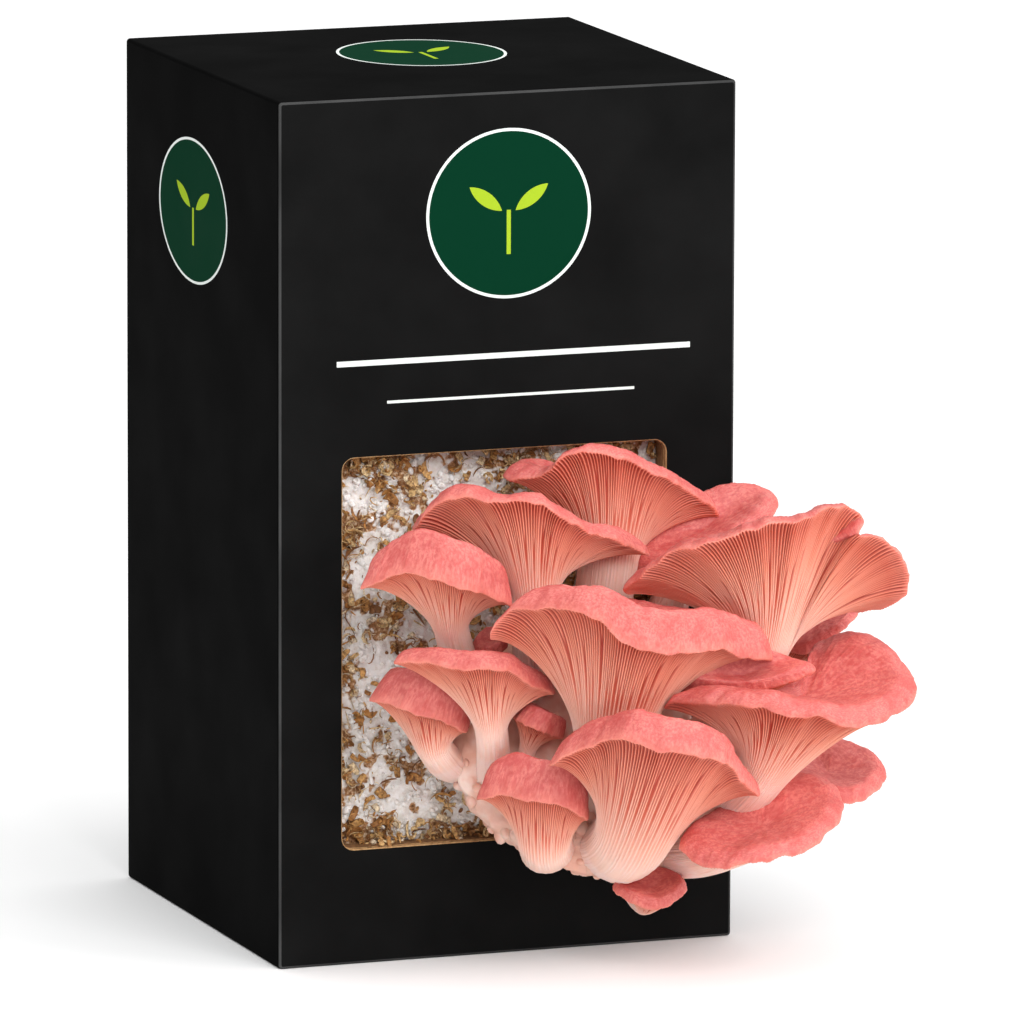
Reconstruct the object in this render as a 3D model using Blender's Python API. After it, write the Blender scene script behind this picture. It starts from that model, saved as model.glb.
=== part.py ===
"""Oyster mushroom grow kit: a printed carton with a window, and the cluster that has grown out of it.

Frame: metres, +Z up, the window faces -Y, and the origin is the middle of the carton's base.
Places on the mushrooms are given in millimetres as (x, out, z), where out is the distance in
front of the carton's front panel.
"""

import math

import bmesh
import bpy
import numpy as np
from mathutils import Vector

MM = 0.001
GAP = 0.3 * MM  # clearance between pieces that touch

# Carton, folded from one sheet of corrugated board
CARTON_WIDTH = 155 * MM
CARTON_DEPTH = 152 * MM
CARTON_HEIGHT = 280 * MM
BOARD = 3 * MM
FOLD_RADIUS = 1.2 * MM

# Window cut in the front panel
WINDOW_WIDTH = 110 * MM
WINDOW_HEIGHT = 127 * MM
WINDOW_CENTRE_X = -1 * MM
WINDOW_BOTTOM = 37.5 * MM
WINDOW_CORNER = 4 * MM

# Kraft liner glued behind the window
LINER_DEPTH = 6 * MM
LINER_MARGIN = 7 * MM

# Substrate block inside the carton
BLOCK_WIDTH = 144 * MM
BLOCK_HEIGHT = 226 * MM
BLOCK_CORNER = 9 * MM
BLOCK_SINK = 1.4 * MM  # how deep the hollows of its front are
BLOCK_CUTS = 11

FRONT = -CARTON_DEPTH / 2
BLOCK_FRONT = FRONT + BOARD + LINER_DEPTH + 3 * GAP
BLOCK_BACK = CARTON_DEPTH / 2 - BOARD - 1 * MM

COLOURS = {
    "carton": ((0.012, 0.012, 0.013), 0.45),
    "kraft": ((0.42, 0.26, 0.12), 0.85),
    "substrate": ((0.72, 0.66, 0.55), 0.9),
    "base": ((0.80, 0.52, 0.45), 0.6),
    "mushroom": ((0.80, 0.30, 0.26), 0.55),
}

# Cluster base: rings along the out direction, as (out, centre x, centre z, half width, half height)
BASE_RINGS = [
    (-8.6, 13, 74, 33, 27),
    (-1, 14, 74, 36, 29),
    (6, 17, 71, 40, 31),
    (14, 20, 66, 40, 33),
    (22, 27, 56, 35, 27),
    (28, 31, 46, 28, 18),
    (32, 32, 40, 17, 10),
]
BASE_TIP = (32, 34, 39)
BASE_COLUMNS = 22
BASE_LUMP = 1.6  # height of its knobs

# Cap: thickness of its lip, and its rings as (share of the way in from the lip, share of the crest)
LIP = 1.6 * MM
CAP_RINGS = [(0.03, 0.3), (0.16, 1.0), (0.55, 0.45)]
STEM_STEPS = (0.12, 0.55, 1.0)  # shares of the way from foot to neck that have a ring
GILL_STEPS = (0.3, 0.55, 0.8, 1.0)  # shares of the way from neck to lip that have a ring
SPLINE_STEPS = 40  # straight steps that each stretch of a rim's spline is measured with

# Each mushroom: foot and neck of the stem with their radii, the rim as stations
# (x, out, z, crest) from its left tip round the front to the right tip and back, how far the
# cap's middle lies below its rim and is set back, and the number of columns its skin has.
# The crest is how far the cap's shoulder stands above the lip.
MUSHROOMS = {
    "mushroom_top": {
        "foot": (27, 6, 96), "neck": (29, 14, 128), "radii": (9, 9.5), "dish": 6, "columns": 20,
        "rim": [
            (-5, 10, 158, 4), (3, 17, 158, 4), (10, 21, 164, 4), (17, 23, 167, 4), (29, 24, 164, 4),
            (42, 23, 158, 4), (55, 19, 151, 4), (67, 12, 141, 4), (60, 4, 145, 3), (40, 2, 153, 2),
            (18, 2, 158, 2), (2, 4, 159, 3),
        ],
    },
    "mushroom_upper_left": {
        "foot": (6, 14, 92), "neck": (-3, 27, 121), "radii": (6, 6), "dish": 7, "columns": 20,
        "rim": [
            (-41, 26, 145, 5), (-38, 31, 153, 5), (-31, 37, 157, 5), (-18, 43, 156, 4),
            (-5, 44, 155, 4), (5, 42, 148, 4), (18, 36, 142, 4), (37, 27, 133, 4), (29, 25, 135, 3),
            (12, 24, 143, 2), (-8, 18, 149, 2), (-26, 15, 151, 3), (-37, 19, 147, 4),
        ],
    },
    "mushroom_left": {
        "foot": (-15, 8, 80), "neck": (-27, 22, 111), "radii": (6, 5.5), "dish": 1, "columns": 16,
        "rim": [
            (-59, 28, 128, 11), (-54, 33, 132, 12), (-47, 38, 134, 13), (-39, 42, 132, 13),
            (-30, 43, 129, 13), (-20, 40, 125, 12), (-11, 34, 121, 9), (-15, 26, 124, 7),
            (-26, 20, 129, 6), (-40, 18, 131, 6), (-53, 21, 130, 8),
        ],
    },
    "mushroom_centre": {
        "foot": (29, 22, 52), "neck": (20, 41, 77), "radii": (12, 12), "dish": 4, "columns": 22,
        "rim": [
            (-22, 44, 112, 6), (-20, 52, 121, 7), (-11, 60, 125, 8), (-1, 66, 124, 9),
            (8, 70, 118, 11), (18, 71, 112, 12), (33, 69, 109, 12), (50, 62, 107, 12),
            (71, 50, 102, 8), (62, 43, 107, 6), (42, 40, 113, 5), (20, 38, 117, 5),
            (0, 38, 119, 5), (-14, 39, 116, 5),
        ],
    },
    "mushroom_upper_right": {
        "foot": (56, 22, 62), "neck": (71, 39, 97), "radii": (8, 7.5), "dish": 8,
        "set_back": 13, "columns": 24,
        "rim": [
            (23, 44, 125, 5), (29, 52, 133, 5), (38, 60, 141, 5), (51, 65, 145, 5), (67, 67, 148, 5),
            (80, 63, 149, 4), (90, 57, 151, 4), (98, 53, 149, 2), (101, 53, 145, 1),
            (98, 56, 141, 1), (104, 57, 139, 2), (112, 54, 134, 3), (118, 49, 125, 3),
            (119, 41, 116, 3), (112, 32, 111, 3), (95, 26, 110, 2), (75, 25, 117, 2),
            (52, 29, 124, 2), (32, 37, 124, 3),
        ],
    },
    "mushroom_right": {
        "foot": (55, 26, 44), "neck": (67, 48, 64), "radii": (10, 10), "dish": 4, "columns": 24,
        "rim": [
            (34, 53, 88, 4), (41, 61, 91, 4), (48, 66, 91, 4), (56, 71, 91, 4), (66, 74, 88, 4),
            (77, 75, 86, 4), (89, 74, 83, 4), (102, 70, 83, 4), (113, 64, 86, 4), (118, 56, 90, 4),
            (119, 46, 95, 4), (115, 34, 100, 4), (107, 26, 101, 4), (98, 25, 98, 3),
            (89, 36, 96, 2), (77, 49, 92, 1), (60, 51, 91, 1), (44, 52, 89, 2),
        ],
    },
    "mushroom_lower_centre": {
        "foot": (27, 19, 38), "neck": (25, 46, 45), "radii": (12, 12.5), "dish": 3, "columns": 22,
        "rim": [
            (-6, 55, 73, 8), (-1, 63, 78, 10), (5, 70, 82, 10), (10, 76, 84, 10), (18, 81, 82, 10),
            (31, 83, 79, 10), (41, 80, 76, 9), (50, 74, 71, 8), (57, 68, 63, 6), (63, 61, 60, 5),
            (56, 57, 66, 4), (40, 58, 74, 4), (20, 59, 79, 5), (4, 57, 77, 6),
        ],
    },
    "mushroom_lower_left": {
        "foot": (8, 14, 41), "neck": (0, 35, 43), "radii": (9, 8.5), "dish": 0, "columns": 14,
        "rim": [
            (-22, 34, 59, 10), (-17, 40, 61, 12), (-10, 45, 60, 12), (-3, 48, 59, 12),
            (5, 48, 56, 11), (11, 44, 52, 8), (8, 36, 55, 6), (-2, 30, 59, 6), (-14, 28, 60, 8),
        ],
    },
    "mushroom_small_left": {
        "foot": (-17, 2, 62), "neck": (-30, 15, 72), "radii": (6, 5.8), "dish": 0, "columns": 12,
        "rim": [
            (-51, 14, 89, 9), (-48, 19, 89, 11), (-43, 24, 87, 12), (-36, 26, 85, 12),
            (-29, 25, 82, 11), (-21, 19, 78, 8), (-25, 11, 82, 6), (-34, 6, 87, 6), (-45, 7, 90, 8),
        ],
    },
    "mushroom_mid_left": {
        "foot": (-10, 13, 60), "neck": (-16, 29, 79), "radii": (5.5, 5.2), "dish": 4, "columns": 16,
        "rim": [
            (-49, 30, 104, 4), (-43, 36, 105, 4), (-35, 42, 104, 5), (-26, 45, 103, 5),
            (-16, 45, 102, 5), (-8, 42, 97, 5), (3, 34, 92, 4), (-4, 29, 95, 3), (-16, 28, 100, 3),
            (-30, 27, 103, 3), (-42, 26, 104, 3),
        ],
    },
    "mushroom_tiny": {
        "foot": (0, 14, 58), "neck": (-3, 27, 72), "radii": (3, 2.8), "dish": 0, "columns": 12,
        "rim": [
            (-8, 29, 83, 4), (-6, 34, 82, 5), (-2, 36, 80, 5), (3, 34, 78, 5), (8, 29, 76, 4),
            (5, 24, 79, 3), (-1, 22, 82, 3), (-7, 24, 84, 3),
        ],
    },
    "mushroom_lower_right": {
        "foot": (45, 22, 33), "neck": (56, 46, 39), "radii": (7, 7), "dish": 2, "columns": 20,
        "rim": [
            (36, 62, 44, 3), (39, 72, 41, 3), (48, 79, 41, 3), (59, 81, 43, 3), (70, 79, 44, 3),
            (81, 72, 47, 3), (91, 61, 52, 3), (94, 49, 57, 3), (85, 40, 60, 3), (73, 37, 58, 3),
            (58, 42, 52, 3), (44, 51, 47, 3),
        ],
    },
    "mushroom_far_right": {
        "foot": (52, 20, 40), "neck": (84, 28, 51), "radii": (6, 5.5), "dish": 1, "columns": 16,
        "rim": [
            (84, 42, 56, 3), (92, 46, 53, 3), (103, 46, 52, 3), (112, 40, 54, 3), (118, 32, 57, 3),
            (117, 22, 61, 3), (108, 15, 64, 3), (97, 13, 62, 3), (86, 19, 60, 3), (80, 31, 58, 3),
        ],
    },
    "mushroom_bottom": {
        "foot": (34, 20, 30), "neck": (35, 32, 20), "radii": (4, 3.5), "dish": 0, "columns": 12,
        "rim": [
            (23, 36, 27, 2), (26, 44, 24, 2), (32, 48, 22, 2), (39, 46, 23, 2), (46, 40, 26, 2),
            (46, 33, 28, 2), (38, 30, 30, 2), (28, 31, 29, 2),
        ],
    },
    "mushroom_back_right": {
        "foot": (40, 6, 84), "neck": (55, 13, 123), "radii": (6.5, 6), "dish": 1, "columns": 16,
        "rim": [
            (38, 14, 126, 3), (50, 23, 127, 3), (69, 25, 135, 3), (84, 19, 142, 3), (87, 11, 146, 3),
            (76, 5, 149, 3), (64, 4, 146, 3), (48, 5, 138, 3),
        ],
    },
    "mushroom_notch": {
        "foot": (44, 24, 58), "neck": (58, 44, 84), "radii": (7, 6.5), "dish": 0, "columns": 12,
        "rim": [
            (50, 46, 90, 2), (58, 53, 91, 2), (67, 57, 93, 2), (75, 58, 95, 2), (84, 54, 98, 2),
            (81, 50, 99, 2), (72, 47, 99, 2), (60, 44, 96, 2),
        ],
    },
    "mushroom_young": {
        "foot": (-4, 8, 82), "neck": (-11, 14, 97), "radii": (2.8, 2.5), "dish": 0, "columns": 12,
        "rim": [
            (-17, 16, 103, 2), (-15, 20, 102, 2), (-9, 19, 103, 2), (-6, 15, 106, 2),
            (-9, 11, 108, 2), (-15, 12, 106, 2),
        ],
    },
    "mushroom_far_back": {
        "foot": (50, 12, 66), "neck": (90, 12, 86), "radii": (4.2, 3.5), "dish": 0, "columns": 12,
        "rim": [
            (94, 16, 95, 2), (101, 21, 99, 2), (109, 22, 105, 2), (114, 17, 110, 2),
            (106, 9, 111, 2), (97, 6, 107, 2), (90, 8, 101, 2),
        ],
    },
}

# Which mushrooms stand in front of which: the ones behind are trimmed to clear them
TRIMMED_BY = {
    "mushroom_top": ["mushroom_upper_left", "mushroom_upper_right"],
    "mushroom_upper_left": ["mushroom_centre", "mushroom_left"],
    "mushroom_left": ["mushroom_centre", "mushroom_mid_left", "mushroom_small_left"],
    "mushroom_centre": ["mushroom_lower_centre", "mushroom_lower_left"],
    "mushroom_upper_right": ["mushroom_centre", "mushroom_notch", "mushroom_right"],
    "mushroom_right": ["mushroom_lower_centre", "mushroom_lower_right"],
    "mushroom_lower_left": ["mushroom_lower_centre"],
    "mushroom_small_left": ["mushroom_mid_left"],
    "mushroom_mid_left": ["mushroom_centre"],
    "mushroom_tiny": ["mushroom_mid_left", "mushroom_centre"],
    "mushroom_lower_right": ["mushroom_lower_centre"],
    "mushroom_far_right": ["mushroom_lower_right", "mushroom_right"],
    "mushroom_bottom": ["mushroom_lower_centre"],
    "mushroom_back_right": ["mushroom_top", "mushroom_upper_right"],
    "mushroom_notch": ["mushroom_centre", "mushroom_right"],
    "mushroom_young": ["mushroom_left", "mushroom_upper_left", "mushroom_centre"],
    "mushroom_far_back": ["mushroom_upper_right", "mushroom_right", "mushroom_far_right"],
}


def material(name):
    """The Principled material of one kind of piece."""
    if name in bpy.data.materials:
        return bpy.data.materials[name]
    colour, roughness = COLOURS[name]
    made = bpy.data.materials.new(name)
    made.use_nodes = True
    shader = made.node_tree.nodes["Principled BSDF"]
    shader.inputs["Base Color"].default_value = (*colour, 1)
    shader.inputs["Roughness"].default_value = roughness
    shader.inputs["Metallic"].default_value = 0
    return made


def add_object(name, bm, finish):
    """Put a bmesh into the scene as one named object."""
    mesh = bpy.data.meshes.new(name)
    bm.to_mesh(mesh)
    bm.free()
    thing = bpy.data.objects.new(name, mesh)
    thing.data.materials.append(material(finish))
    bpy.context.collection.objects.link(thing)
    return thing


def block_bmesh(low, high):
    """A box between two corners."""
    low, high = Vector(low), Vector(high)
    bm = bmesh.new()
    bmesh.ops.create_cube(bm, size=1)
    bmesh.ops.scale(bm, vec=high - low, verts=bm.verts)
    bmesh.ops.translate(bm, vec=(low + high) / 2, verts=bm.verts)
    return bm


def edges_along(bm, axis):
    """The straight edges of a box that run along one axis."""
    others = [i for i in range(3) if i != axis]
    return [
        e for e in bm.edges
        if all(abs(e.verts[0].co[i] - e.verts[1].co[i]) < GAP for i in others)
    ]


def round_edges(bm, edges, radius, segments):
    bmesh.ops.bevel(
        bm, geom=edges, offset=radius, segments=segments, profile=0.5, affect="EDGES"
    )


def make_cutter(thing):
    """Turn an object into a hidden Boolean cutter."""
    thing.hide_render = True
    thing.display_type = "WIRE"
    return thing


def cut(thing, cutter):
    """Subtract a cutter from an object."""
    step = thing.modifiers.new("cut " + cutter.name, "BOOLEAN")
    step.operation = "DIFFERENCE"
    step.solver = "EXACT"
    step.object = cutter


def window_prism(name, y_low, y_high, margin):
    """A round-cornered prism of the window's outline, larger all round by the margin."""
    half = WINDOW_WIDTH / 2 + margin
    bm = block_bmesh(
        (WINDOW_CENTRE_X - half, y_low, WINDOW_BOTTOM - margin),
        (WINDOW_CENTRE_X + half, y_high, WINDOW_BOTTOM + WINDOW_HEIGHT + margin),
    )
    round_edges(bm, edges_along(bm, 1), WINDOW_CORNER + margin, 4)
    return add_object(name, bm, "kraft")


def make_carton():
    """Closed carton of corrugated board, with its window cut through the front panel."""
    half_w, half_d = CARTON_WIDTH / 2, CARTON_DEPTH / 2
    bm = block_bmesh((-half_w, -half_d, 0), (half_w, half_d, CARTON_HEIGHT))
    round_edges(bm, bm.edges[:], FOLD_RADIUS, 2)
    carton = add_object("carton", bm, "carton")
    hollow = block_bmesh(
        (BOARD - half_w, BOARD - half_d, BOARD),
        (half_w - BOARD, half_d - BOARD, CARTON_HEIGHT - BOARD),
    )
    cut(carton, make_cutter(add_object("hollow cutter", hollow, "kraft")))
    cut(carton, make_cutter(window_prism("window cutter", -CARTON_DEPTH, 0, 0)))


def make_liner():
    """Kraft frame behind the front panel, round the window."""
    back = FRONT + BOARD
    liner = window_prism("kraft_liner", back + GAP, back + GAP + LINER_DEPTH, LINER_MARGIN)
    cut(liner, make_cutter(window_prism("liner cutter", -CARTON_DEPTH, 0, 0)))


def make_block():
    """Substrate block: a soft-cornered brick whose front has shallow hollows."""
    bm = block_bmesh(
        (-BLOCK_WIDTH / 2, BLOCK_FRONT, BOARD + GAP),
        (BLOCK_WIDTH / 2, BLOCK_BACK, BOARD + GAP + BLOCK_HEIGHT),
    )
    round_edges(bm, edges_along(bm, 2), BLOCK_CORNER, 3)
    front = min(bm.faces, key=lambda f: f.calc_center_median().y)
    bmesh.ops.subdivide_edges(bm, edges=front.edges[:], cuts=BLOCK_CUTS, use_grid_fill=True)
    for v in bm.verts:
        inside = abs(v.co.y - BLOCK_FRONT) < GAP and len(v.link_faces) == 4
        on_front = inside and all(abs(f.normal.y) > 0.9 for f in v.link_faces)
        if on_front:
            wave = math.sin(v.co.x * 190) * math.sin(v.co.z * 150 + v.co.x * 60)
            v.co.y += BLOCK_SINK * (0.5 + 0.5 * wave)
    return add_object("substrate_block", bm, "substrate")


def place(point):
    """(x, out, z) in millimetres to a place in the frame."""
    x, out, z = point[:3]
    return np.array([x * MM, FRONT - out * MM, z * MM])


def closed_spline(stations, count):
    """Points at even spacing along the closed cubic spline through the stations."""
    knots = np.array(stations, float)
    ahead = np.roll(knots, -1, axis=0)
    step = np.linalg.norm(ahead - knots, axis=1)
    n = len(knots)
    system = np.zeros((n, n))
    slope = (ahead - knots) / step[:, None]
    change = 6 * (slope - np.roll(slope, 1, axis=0))
    for i in range(n):
        system[i, i - 1] += step[i - 1]
        system[i, i] += 2 * (step[i - 1] + step[i])
        system[i, (i + 1) % n] += step[i]
    bend = np.linalg.solve(system, change)
    bend_ahead = np.roll(bend, -1, axis=0)
    fine = []
    for i in range(n):
        a = np.linspace(0, step[i], SPLINE_STEPS, endpoint=False)[:, None]
        b = step[i] - a
        fine.append(
            (bend[i] * b**3 + bend_ahead[i] * a**3) / (6 * step[i])
            + (knots[i] / step[i] - bend[i] * step[i] / 6) * b
            + (ahead[i] / step[i] - bend_ahead[i] * step[i] / 6) * a
        )
    fine = np.concatenate(fine)
    closed = np.vstack([fine, fine[:1]])
    run = np.concatenate([[0], np.cumsum(np.linalg.norm(np.diff(closed[:, :3], axis=0), axis=1))])
    even = np.linspace(0, run[-1], count, endpoint=False)
    return np.stack([np.interp(even, run, closed[:, k]) for k in range(closed.shape[1])], axis=1)


def unit(v):
    return v / np.linalg.norm(v, axis=-1, keepdims=True)


def mushroom_rings(spec):
    """Rings of points from the stem's foot, up the gills, over the lip and in across the cap."""
    columns = spec["columns"]
    rim = closed_spline(spec["rim"], columns)
    lip = np.stack([rim[:, 0], -rim[:, 1], rim[:, 2]], axis=1) * MM + [0, FRONT, 0]
    crest = rim[:, 3:] * MM
    foot, neck = place(spec["foot"]), place(spec["neck"])
    foot_radius, neck_radius = (r * MM for r in spec["radii"])
    middle = lip.mean(axis=0)
    ahead = np.roll(lip, -1, axis=0)
    up = unit(np.cross(lip - middle, ahead - middle).sum(axis=0))
    axis = unit(unit(neck - foot) + unit(middle - neck))

    # bearing of each column round the rim, half from its direction and half from its distance run
    flat = lip - middle - ((lip - middle) @ up)[:, None] * up
    side = unit(np.cross(up, [0, 1, 0]))
    other = np.cross(up, side)
    seen = np.unwrap(np.arctan2(flat @ other, flat @ side))
    even = 2 * np.pi * np.arange(columns) / columns
    even += (seen - even).mean()
    bearing = (seen + even) / 2

    # the same two directions, turned to stand square to the stem
    stem_side = unit(side - (side @ axis) * axis)
    stem_other = np.cross(axis, stem_side)
    spoke = np.cos(bearing)[:, None] * stem_side + np.sin(bearing)[:, None] * stem_other

    rings = [foot + spoke * 0.7 * foot_radius - axis * foot_radius * 0.3]
    bow = neck - axis * np.linalg.norm(neck - foot) / 2
    for t in STEM_STEPS:
        centre = (1 - t) ** 2 * foot + 2 * t * (1 - t) * bow + t**2 * neck
        rings.append(centre + spoke * (foot_radius + (neck_radius - foot_radius) * t))

    # gills: a curve leaving the stem along its axis and reaching the lip from inside
    root = rings[-1]
    outward = unit(flat)
    droop = np.clip(crest / MM * 4, 8, 50) * np.pi / 180
    under = lip - up * LIP / 2
    reach = np.linalg.norm(under - root, axis=1)[:, None]
    chord = unit(under - root)
    flare = np.clip((outward * chord).sum(axis=1)[:, None] + 0.5, 0, 1)
    level = unit(outward * flare + chord * 0.8)
    arrive = np.cos(droop) * level - np.sin(droop) * up
    span = np.linalg.norm(lip - middle, axis=1)[:, None]
    pull_root = root + axis * reach * 0.3
    pull_lip = under - arrive * np.minimum(reach * 0.3, span * 0.3)
    for t in GILL_STEPS:
        rings.append(
            (1 - t) ** 3 * root + 3 * t * (1 - t) ** 2 * pull_root
            + 3 * t**2 * (1 - t) * pull_lip + t**3 * under
        )

    # cap: up over the shoulder, then in to a middle that lies below the rim
    hub = middle - up * spec["dish"] * MM + up * crest.mean() * 0.5
    hub[1] += spec.get("set_back", 0) * MM
    for inward, height in CAP_RINGS:
        edge = up * LIP / 2 if inward == CAP_RINGS[0][0] else 0
        rings.append(lip + (hub - lip) * inward + up * crest * height + edge)
    return rings, hub


def skin(rings, tip):
    """A closed bmesh: a tube drawn through the rings, flat at its start and gathered at its tip."""
    bm = bmesh.new()
    count = len(rings[0])
    bmesh.ops.create_circle(bm, cap_ends=True, segments=count, radius=1)
    bm.verts.ensure_lookup_table()
    order = {v: i for i, v in enumerate(bm.verts)}
    edge_loop = bm.edges[:]
    for v, i in order.items():
        v.co = rings[0][i]
    for ring in rings[1:]:
        grown = bmesh.ops.extrude_edge_only(bm, edges=edge_loop)["geom"]
        edge_loop = [g for g in grown if isinstance(g, bmesh.types.BMEdge) and len(g.link_faces) == 1]
        fresh = {v for e in edge_loop for v in e.verts}
        newer = {}
        for v in fresh:
            below = next(e.other_vert(v) for e in v.link_edges if e.other_vert(v) in order)
            newer[v] = order[below]
        for v, i in newer.items():
            v.co = ring[i]
        order = newer
    lid = bmesh.ops.contextual_create(bm, geom=edge_loop)["faces"]
    centre = bmesh.ops.poke(bm, faces=lid)["verts"][0]
    centre.co = tip
    bmesh.ops.triangulate(bm, faces=bm.faces[:])
    bmesh.ops.recalc_face_normals(bm, faces=bm.faces[:])
    return bm


def inflated(bm, distance):
    """The same skin moved outward everywhere by about the distance."""
    bm = bm.copy()
    bm.normal_update()
    moves = [v.normal * distance * min(v.calc_shell_factor(), 2.5) for v in bm.verts]
    for v, move in zip(bm.verts, moves):
        v.co += move
    return bm


def base_rings():
    """Knobbly rings of the cluster base, from the block outwards."""
    turn = 2 * np.pi * np.arange(BASE_COLUMNS) / BASE_COLUMNS
    rings = []
    for out, x, z, half_width, half_height in BASE_RINGS:
        lump = BASE_LUMP * np.sin(5 * turn + out * 0.7) * np.sin(3 * turn - out * 0.4)
        if out < 0:
            lump = lump * 0.3
        rings.append(np.stack([
            (x + (half_width + lump) * np.cos(turn)) * MM,
            np.full(BASE_COLUMNS, FRONT - out * MM),
            (z + (half_height + lump) * np.sin(turn)) * MM,
        ], axis=1))
    return rings, place(BASE_TIP)


def make_cluster():
    """The base and every mushroom on it, each trimmed clear of the pieces in front of it."""
    base = skin(*base_rings())
    cutters = {"cluster_base": make_cutter(add_object("base cutter", inflated(base, GAP), "base"))}
    add_object("cluster_base", base, "base")
    skins = {name: skin(*mushroom_rings(spec)) for name, spec in MUSHROOMS.items()}
    in_front = {name for names in TRIMMED_BY.values() for name in names}
    for name in sorted(in_front):
        grown = inflated(skins[name], GAP)
        cutters[name] = make_cutter(add_object(name + " cutter", grown, "mushroom"))
    for name, bm in skins.items():
        mushroom = add_object(name, bm, "mushroom")
        for other in ["cluster_base"] + TRIMMED_BY.get(name, []):
            cut(mushroom, cutters[other])


for thing in list(bpy.data.objects):
    bpy.data.objects.remove(thing, do_unlink=True)

make_carton()
make_liner()
make_block()
make_cluster()
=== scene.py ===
"""Oyster mushroom grow kit: the finish of its carton, its substrate and the cluster it has grown."""

import math

import bpy
import numpy as np
from mathutils import Matrix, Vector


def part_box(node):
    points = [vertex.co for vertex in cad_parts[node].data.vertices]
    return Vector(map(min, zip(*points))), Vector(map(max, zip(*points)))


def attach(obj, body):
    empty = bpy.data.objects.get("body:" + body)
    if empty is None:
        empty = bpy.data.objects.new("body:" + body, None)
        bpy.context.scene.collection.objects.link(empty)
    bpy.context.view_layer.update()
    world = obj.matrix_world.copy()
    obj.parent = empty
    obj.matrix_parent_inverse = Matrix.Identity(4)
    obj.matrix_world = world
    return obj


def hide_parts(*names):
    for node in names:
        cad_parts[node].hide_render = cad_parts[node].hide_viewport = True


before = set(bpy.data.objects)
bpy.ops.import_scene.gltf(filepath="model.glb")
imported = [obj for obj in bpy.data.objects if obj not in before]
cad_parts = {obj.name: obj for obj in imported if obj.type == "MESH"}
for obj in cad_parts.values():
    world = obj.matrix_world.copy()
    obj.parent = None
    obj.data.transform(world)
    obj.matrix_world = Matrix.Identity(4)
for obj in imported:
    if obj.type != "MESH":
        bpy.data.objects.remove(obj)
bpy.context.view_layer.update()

# ----------------------------------------
# Carton: one folded sheet of corrugated board, 3 mm thick, glued shut at top and bottom. Its
# outside is printed black under a satin laminate, its inside and cut edges are bare kraft, and
# a round-cornered window is die-cut through the front panel.

MM = 0.001
carton_low, carton_high = (np.array(corner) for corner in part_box("carton"))
carton_size = carton_high - carton_low
front = carton_low[1]  # plane of the front panel
board = 3 * MM
fold = 1.2 * MM
window_middle = np.array([-1.0, 101.0]) * MM
window_half = np.array([55.0, 63.5]) * MM
window_low, window_high = window_middle - window_half, window_middle + window_half
window_corner = 4 * MM
paper = 0.55 * MM  # thickness of the board's outer and inner papers
flute_sink = 1.3 * MM  # how far the wavy core sits back from the papers' cut edges
raw_edge = 0.3 * MM  # bevel of bare paper round the window


def linked(name, data):
    """New object of the data, in the scene."""
    made = bpy.data.objects.new(name, data)
    bpy.context.collection.objects.link(made)
    return made


def add_piece(name, points, faces, finishes, replaces=(), slot=None, marks=None, finish_of=None):
    """Mesh object made of points and faces, with number or vector marks on its points."""
    mesh = bpy.data.meshes.new(name)
    mesh.from_pydata(points.reshape(-1, 3).tolist(), [], faces)
    for finish in finishes:
        mesh.materials.append(finish)
    if finish_of is not None:
        mesh.polygons.foreach_set("material_index", finish_of)
    for mark, values in (marks or {}).items():
        values = np.asarray(values, np.float32)
        vector = values.shape[-1] == 3 and values.ndim > 1 and values.size == 3 * len(mesh.vertices)
        layer = mesh.attributes.new(mark, "FLOAT_VECTOR" if vector else "FLOAT", "POINT")
        layer.data.foreach_set("vector" if vector else "value", values.ravel())
    mesh.shade_smooth()
    piece = linked(name, mesh)
    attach(piece, "root")
    if len(replaces):
        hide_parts(*replaces)
    return piece


def loop_faces(rows, columns, ends=True):
    """Faces of rows of points that close into loops, each end gathered to a point of its own.

    The two gathered points follow the grid's own. Columns run anticlockwise seen from outside.
    """
    i, j = np.meshgrid(np.arange(rows - 1), np.arange(columns), indexing="ij")
    after = (j + 1) % columns
    quads = np.stack([i * columns + j, i * columns + after, (i + 1) * columns + after,
                      (i + 1) * columns + j], axis=-1).reshape(-1, 4).tolist()
    if not ends:
        return quads
    j, after = j[0], after[0]
    first, last, top = rows * columns, rows * columns + 1, (rows - 1) * columns
    fans = [np.stack([np.full(columns, first), after, j], axis=-1),
            np.stack([np.full(columns, last), top + j, top + after], axis=-1)]
    return quads + np.concatenate(fans).tolist()


def outline(half, corner, arc_steps, side_steps):
    """Rounded rectangle, clockwise: quarter circles round the corner centres, straight between."""
    signs, angles = [], []
    corners = np.array([(1, 1), (-1, 1), (-1, -1), (1, -1), (1, 1)], float)
    for k in range(4):
        turn = np.linspace(k, k + 1, arc_steps + 1) * np.pi / 2
        run = np.linspace(0, 1, side_steps + 1)[1:-1, None]
        signs += [np.repeat(corners[k:k + 1], arc_steps + 1, axis=0),
                  corners[k] + (corners[k + 1] - corners[k]) * run]
        angles += [turn, np.full(side_steps - 1, turn[-1])]
    signs, angles = np.concatenate(signs), np.concatenate(angles)
    direction = np.stack([np.cos(angles), np.sin(angles)], axis=1)
    return (signs * (np.asarray(half) - corner) + corner * direction)[::-1]


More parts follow.
